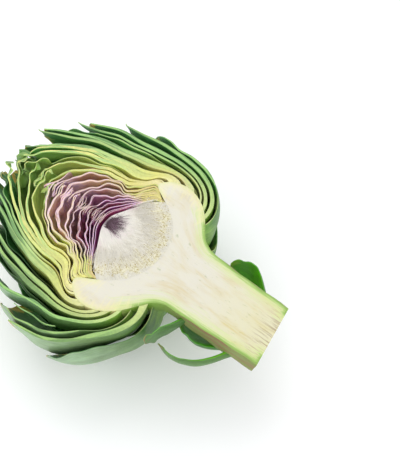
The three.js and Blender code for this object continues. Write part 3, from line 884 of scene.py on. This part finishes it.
# ---------------------------------------------------------------- operators


def turn_of(leaf):
    """Where the middle of a leaf stands round the axis, in degrees."""
    return (FIRST_TURN + leaf * GOLDEN_ANGLE + 90) % 360 - 90 + TWISTS.get(leaf, 0)


def head_leaves(kind):
    """
    (name, number, turn, whether it is a node) of the leaves of one kind. The knife has taken the middle
    of some leaves with the other half and left an edge of them here.
    """
    first, last = KINDS[kind]["numbers"]
    kept = edges = 0
    for leaf in range(first, last + 1):
        turn = turn_of(leaf)
        above = max(-turn, turn - 180)
        if above <= REACH_ABOVE:
            kept += 1
            yield f"{kind}_leaf_{kept:02}", leaf, turn, True
        elif above <= REACH_ABOVE + EDGE_REACH:
            edges += 1
            yield f"{kind}_edge_{edges:02}", leaf, turn, False
    first, steps, reach = KINDS[kind]["between"]
    for count in range(1, steps * (last - first)):
        leaf = first + count / steps
        turn = turn_of(leaf)
        if count % steps and min(abs(turn), abs(turn - 180)) <= reach:
            yield f"{kind}_thin_{count:02}", leaf, turn, False


def build_head_leaves(kind, sizes, materials):
    """Builds the leaves of one kind, from the outermost to the innermost."""
    habit = KINDS[kind]
    random = np.random.default_rng(habit["seed"])
    waves = [(number, share * sizes.waviness / MM) for number, share in habit["waves"]]
    for name, leaf, turn, is_node in head_leaves(kind):
        half_width = blend(HALF_WIDTHS, leaf)
        thin = blend(PURPLE_THICKNESS, leaf) * (1 if is_node else 0.7)
        beside = 1 if is_node else 0.5
        blade = Blade(
            head_line(leaf),
            turn,
            [(0, ROOT_HALF_WIDTH), *((up, share * half_width) for up, share in LEAF_OUTLINES[kind])],
            [(0, thin + 0.5), (0.2, thin + 0.4), (0.45, thin), (1, 0.7 * thin)]
            if kind == "purple"
            else [(up, depth * blend(YOUNG_SHARE, leaf)) for up, depth in LEAF_THICKNESS],
            (head_line(leaf - beside), head_line(leaf + beside)),
            CROWNS[kind] if leaf >= FIRST_CLOSED else None,
            sway=habit["sway"] * sizes.sway / MM,
            crumple=habit["crumple"] * sizes.crumple / MM,
            waves=blend(waves, leaf),
            curls=CURLS * smoothstep(leaf, *CURLED),
            flaring=float(np.clip(leaf, -0.5, 1)),
            seed=LEAF_SEED + int(3 * leaf),
        )
        age = float(blend(habit["ages"], leaf))
        sink = random.uniform(*SINK)
        nodes = [name] if is_node else []
        leaf_piece(name + "_blade", nodes, f"{kind}_leaf", blade, age, sink, materials, *habit["grid"])


def near_cut(along, aside, height):
    """A point by its place in the cut and its height over it, in millimetres."""
    return Vector((FOOT_X - along, AXIS_Y + aside, CUT_HEIGHT + height))


class ARTICHOKE_OT_heart(bpy.types.Operator):
    """Build the heart and stem, cut lengthwise"""

    bl_idname = "artichoke.heart"
    bl_label = "Heart and Stem"

    def execute(self, context):
        colours = context.scene.artichoke_colours
        bm = turned_body([*HEART_OUTLINE, *DISH_OUTLINE], HEART_STEPS)
        layers = [bm.verts.layers.float.new(name) for name in ("from_skin", "from_roots")]
        tilt = math.radians(STEM_END_TILT)
        end = (FOOT_X + STEM_LENGTH - STEM_TRIM, AXIS_Y, CUT_HEIGHT)
        facing = (math.cos(tilt), math.sin(tilt), -math.tan(math.radians(STEM_END_LEAN)))
        for face in cut_away(bm, end, facing):
            face.material_index = 1
        faces = refine_level(bm, cut_level(bm, CUT_HEIGHT), CUT_GRID)
        for face in faces:
            face.material_index = 1
        self.grade(bm, faces, *layers)
        sharpen(bm)
        materials = (stem_skin_finish(colours), flesh_finish(colours))
        piece_from(bm, "heart_flesh", materials, "heart_flesh", "heart_and_stem")
        return {"FINISHED"}

    def grade(self, bm, faces, from_skin, from_roots):
        """Notes on the cut how far each spot is from the stem's skin and from the leaves' roots, in mm."""
        verts = corners_of(faces)
        spots = np.array([(FOOT_X - vert.co.x / MM, vert.co.y / MM - AXIS_Y) for vert in verts])
        inside = set(faces)
        edge = np.array([not inside.issuperset(vert.link_faces) for vert in verts])
        along, out = spots[:, 0], np.abs(spots[:, 1])
        for layer, chosen in (
            (from_skin, edge & (out > 10) & (along < 3)),
            (from_roots, edge & (out > 23) & (along > 1)),
        ):
            distances = np.linalg.norm(spots[:, None] - spots[None, chosen], axis=2).min(1)
            for vert in bm.verts:
                vert[layer] = FAR_OFF
            for vert, distance in zip(verts, distances):
                vert[layer] = float(distance)


class ARTICHOKE_OT_choke(bpy.types.Operator):
    """Build the choke: the cut cone, its hairs and the cut florets along the dish"""

    bl_idname = "artichoke.choke"
    bl_label = "Choke"

    def execute(self, context):
        sizes, colours = context.scene.artichoke_sizes, context.scene.artichoke_colours
        bm = turned_body(CHOKE_OUTLINE, CHOKE_STEPS)
        from_dish = bm.verts.layers.float.new("from_dish")
        faces = refine_level(bm, cut_level(bm, CUT_HEIGHT - CHOKE_SINK), CUT_GRID)
        dish, _ = curve_through(DISH_OUTLINE)
        for vert in corners_of(faces):
            spot = (FOOT_X - vert.co.x / MM, abs(vert.co.y / MM - AXIS_Y))
            vert[from_dish] = float(np.linalg.norm(dish - spot, axis=1).min())
        sharpen(bm)
        piece_from(bm, "choke_cone", (choke_finish(colours),), "choke", "choke")
        self.hairs(sizes.strands, hair_finish(colours))
        self.florets(sizes.florets, floret_finish(colours))
        return {"FINISHED"}

    def hairs(self, count, material):
        """Hairs that lie in the cut, from the dish towards the tip of the cone."""
        random = np.random.default_rng(HAIR_SEED)
        dish, _ = curve_through(DISH_OUTLINE[::-1])
        bm = bmesh.new()
        purple = bm.verts.layers.float.new("purple")
        for _ in range(count):
            share = random.uniform(0, 1) ** 0.8
            along, out = dish[int(share * (len(dish) - 1) * HAIRY)]
            side = random.choice((-1, 1))
            start = np.array([along + random.uniform(0.5, 12), side * out * random.uniform(0.75, 0.99)])
            aim = np.array([random.uniform(34, 44), random.normal(0, 2.5)])
            run = aim - start
            length = random.uniform(*HAIR_LENGTH)
            stop = start + run / np.linalg.norm(run) * length
            reach = 34 - 0.6 * abs(stop[1])
            if stop[0] > reach + 1.5:
                continue
            lift = random.uniform(-0.05, 0.35)
            ends = near_cut(*start, -0.25), near_cut(*stop, lift + random.uniform(0, 0.5))
            tint = float(smoothstep(stop[0], 27, 33))
            self.hair(bm, purple, ends, random.uniform(*HAIR_RADIUS), (0.35 * tint, tint))
        for _ in range(TIP_HAIRS):
            fan, length = random.normal(0.15, 0.5), random.uniform(*TIP_HAIR_LENGTH)
            start = np.array([CHOKE_TIP, 0]) + random.normal(0, 1, 2) * (0.5, 1.3)
            stop = start + length * np.array([-math.cos(fan), math.sin(fan)])
            ends = near_cut(*start, 0.1), near_cut(*stop, random.uniform(0.05, 0.4))
            self.hair(bm, purple, ends, random.uniform(*TIP_HAIR_RADIUS), (1, random.uniform(0.75, 1)))
        piece_from(bm, "choke_hairs", (material,), "choke")

    def hair(self, bm, purple, ends, radius, tints):
        """One hair: a thin three-sided cone from one end to the other, with how purple its ends are."""
        start, stop = ends
        cone = bmesh.ops.create_cone(
            bm, cap_ends=True, cap_tris=True, segments=3, radius1=radius, radius2=radius / 4,
            depth=(stop - start).length,
        )["verts"]
        turn = (stop - start).to_track_quat("Z", "X").to_matrix()
        bmesh.ops.rotate(bm, verts=cone, cent=(0, 0, 0), matrix=turn)
        bmesh.ops.translate(bm, verts=cone, vec=(start + stop) / 2)
        for vert in cone:
            nearer_stop = (vert.co - stop).length < (vert.co - start).length
            vert[purple] = tints[nearer_stop]
        bmesh.ops.scale(bm, verts=cone, vec=(MM, MM, MM))

    def florets(self, count, material):
        """Cut floret bases, scattered along the dish."""
        random = np.random.default_rng(FLORET_SEED)
        dish, _ = curve_through(DISH_OUTLINE[::-1])
        bm = bmesh.new()
        for _ in range(count):
            along, out = dish[int(random.uniform(0, FLOWERED) * (len(dish) - 1))]
            depth = abs(random.normal(0, 5)) + 1.2
            spot = (
                FOOT_X - along - depth,
                AXIS_Y + random.choice((-1, 1)) * out * (1 - 0.016 * depth) + random.normal(0, 0.6),
                CUT_HEIGHT - 0.12,
            )
            radius = random.uniform(*FLORET_RADIUS)
            ball = bmesh.ops.create_icosphere(bm, subdivisions=1, radius=radius)["verts"]
            bmesh.ops.scale(bm, verts=ball, vec=(random.uniform(*FLORET_STRETCH), 1, 0.7))
            bmesh.ops.translate(bm, verts=ball, vec=spot)
            bmesh.ops.scale(bm, verts=ball, vec=(MM, MM, MM))
        piece_from(bm, "choke_florets", (material,), "choke")


class HeadLeaves:
    """What the operators for the leaves of the head have in common."""

    def execute(self, context):
        materials = leaf_finishes(self.kind, context.scene.artichoke_colours)
        build_head_leaves(self.kind, context.scene.artichoke_sizes, materials)
        return {"FINISHED"}


class ARTICHOKE_OT_outer_leaves(HeadLeaves, bpy.types.Operator):
    """Build the green leaves of the head"""

    bl_idname = "artichoke.outer_leaves"
    bl_label = "Outer Leaves"
    kind = "outer"


class ARTICHOKE_OT_tender_leaves(HeadLeaves, bpy.types.Operator):
    """Build the yellow leaves inside the green ones"""

    bl_idname = "artichoke.tender_leaves"
    bl_label = "Tender Leaves"
    kind = "tender"


class ARTICHOKE_OT_purple_leaves(HeadLeaves, bpy.types.Operator):
    """Build the thin purple leaves over the choke"""

    bl_idname = "artichoke.purple_leaves"
    bl_label = "Purple Leaves"
    kind = "purple"


class ARTICHOKE_OT_stem_leaves(bpy.types.Operator):
    """Build the small leaves on the stem and at the foot of the head"""

    bl_idname = "artichoke.stem_leaves"
    bl_label = "Stem Leaves"

    def execute(self, context):
        materials = leaf_finishes("stem", context.scene.artichoke_colours)
        waves = 0.5 * context.scene.artichoke_sizes.waviness / MM
        for seed, (node, (turn, half_width, line)) in enumerate(STEM_LEAVES.items()):
            outline = [(0, 0.6), *LEAF_OUTLINES["outer"]]
            spread = [(up, share * half_width) for up, share in outline]
            blade = Blade(line, turn, spread, LEAF_THICKNESS, waves=waves, seed=seed)
            leaf_piece(
                node + "_blade", [node], "stem_leaf", blade, 0.0, STEM_LEAF_SINK, materials, *STEM_LEAF_GRID
            )
        return {"FINISHED"}


class ARTICHOKE_OT_stage(bpy.types.Operator):
    """Build the floor, the lights and the camera"""

    bl_idname = "artichoke.stage"
    bl_label = "Stage"

    def execute(self, context):
        scene = context.scene
        self.floor(scene)
        self.lights(scene)
        self.camera(scene)
        scene.view_settings.view_transform = "Standard"
        return {"FINISHED"}

    def floor(self, scene):
        bm = bmesh.new()
        bmesh.ops.create_grid(bm, x_segments=2, y_segments=2, size=FLOOR_HALF)
        mesh = bpy.data.meshes.new("floor")
        bm.to_mesh(mesh)
        bm.free()
        finish = Finish("Pale floor", 0.9)
        mesh.materials.append(finish.finish(FLOOR_COLOUR))
        floor = bpy.data.objects.new("floor", mesh)
        scene.collection.objects.link(floor)

    def lights(self, scene):
        world = bpy.data.worlds.new("Soft room")
        world.use_nodes = True
        background = world.node_tree.nodes["Background"]
        background.inputs["Color"].default_value = SKY_COLOUR
        background.inputs["Strength"].default_value = SKY_POWER
        scene.world = world
        middle = CAMERA_TARGET * MM
        for name, (spot, size, power) in LAMPS.items():
            data = bpy.data.lights.new(name, "AREA")
            data.size = size
            data.energy = power
            light = bpy.data.objects.new(name, data)
            light.location = middle + Vector(spot)
            light.rotation_euler = (middle - light.location).to_track_quat("-Z", "Y").to_euler()
            scene.collection.objects.link(light)

    def camera(self, scene):
        turn, rise = math.radians(CAMERA_TURN), math.radians(CAMERA_RISE)
        back = Vector((math.sin(turn) * math.cos(rise), -math.cos(turn) * math.cos(rise), math.sin(rise)))
        data = bpy.data.cameras.new("camera")
        data.lens = CAMERA_LENS
        camera = bpy.data.objects.new("camera", data)
        camera.location = (CAMERA_TARGET + back * CAMERA_DISTANCE) * MM
        camera.rotation_euler = back.to_track_quat("Z", "Y").to_euler()
        scene.collection.objects.link(camera)
        scene.camera = camera


class ARTICHOKE_PT_panel(bpy.types.Panel):
    bl_label = "Artichoke"
    bl_space_type = "VIEW_3D"
    bl_region_type = "UI"
    bl_category = "Artichoke"

    def draw(self, context):
        layout = self.layout
        for group in (context.scene.artichoke_sizes, context.scene.artichoke_colours):
            for name in group.__annotations__:
                layout.prop(group, name)
        for operator in OPERATORS:
            layout.operator(operator.bl_idname)


OPERATORS = (
    ARTICHOKE_OT_stage,
    ARTICHOKE_OT_heart,
    ARTICHOKE_OT_choke,
    ARTICHOKE_OT_outer_leaves,
    ARTICHOKE_OT_tender_leaves,
    ARTICHOKE_OT_purple_leaves,
    ARTICHOKE_OT_stem_leaves,
)
CLASSES = (ArtichokeSizes, ArtichokeColours, *OPERATORS, ARTICHOKE_PT_panel)


def register():
    for cls in CLASSES:
        bpy.utils.register_class(cls)
    bpy.types.Scene.artichoke_sizes = PointerProperty(type=ArtichokeSizes)
    bpy.types.Scene.artichoke_colours = PointerProperty(type=ArtichokeColours)


def unregister():
    del bpy.types.Scene.artichoke_colours
    del bpy.types.Scene.artichoke_sizes
    for cls in reversed(CLASSES):
        bpy.utils.unregister_class(cls)


def main():
    register()
    for operator in OPERATORS:
        group, name = operator.bl_idname.split(".")
        getattr(getattr(bpy.ops, group), name)()


if __name__ == "__main__":
    main()
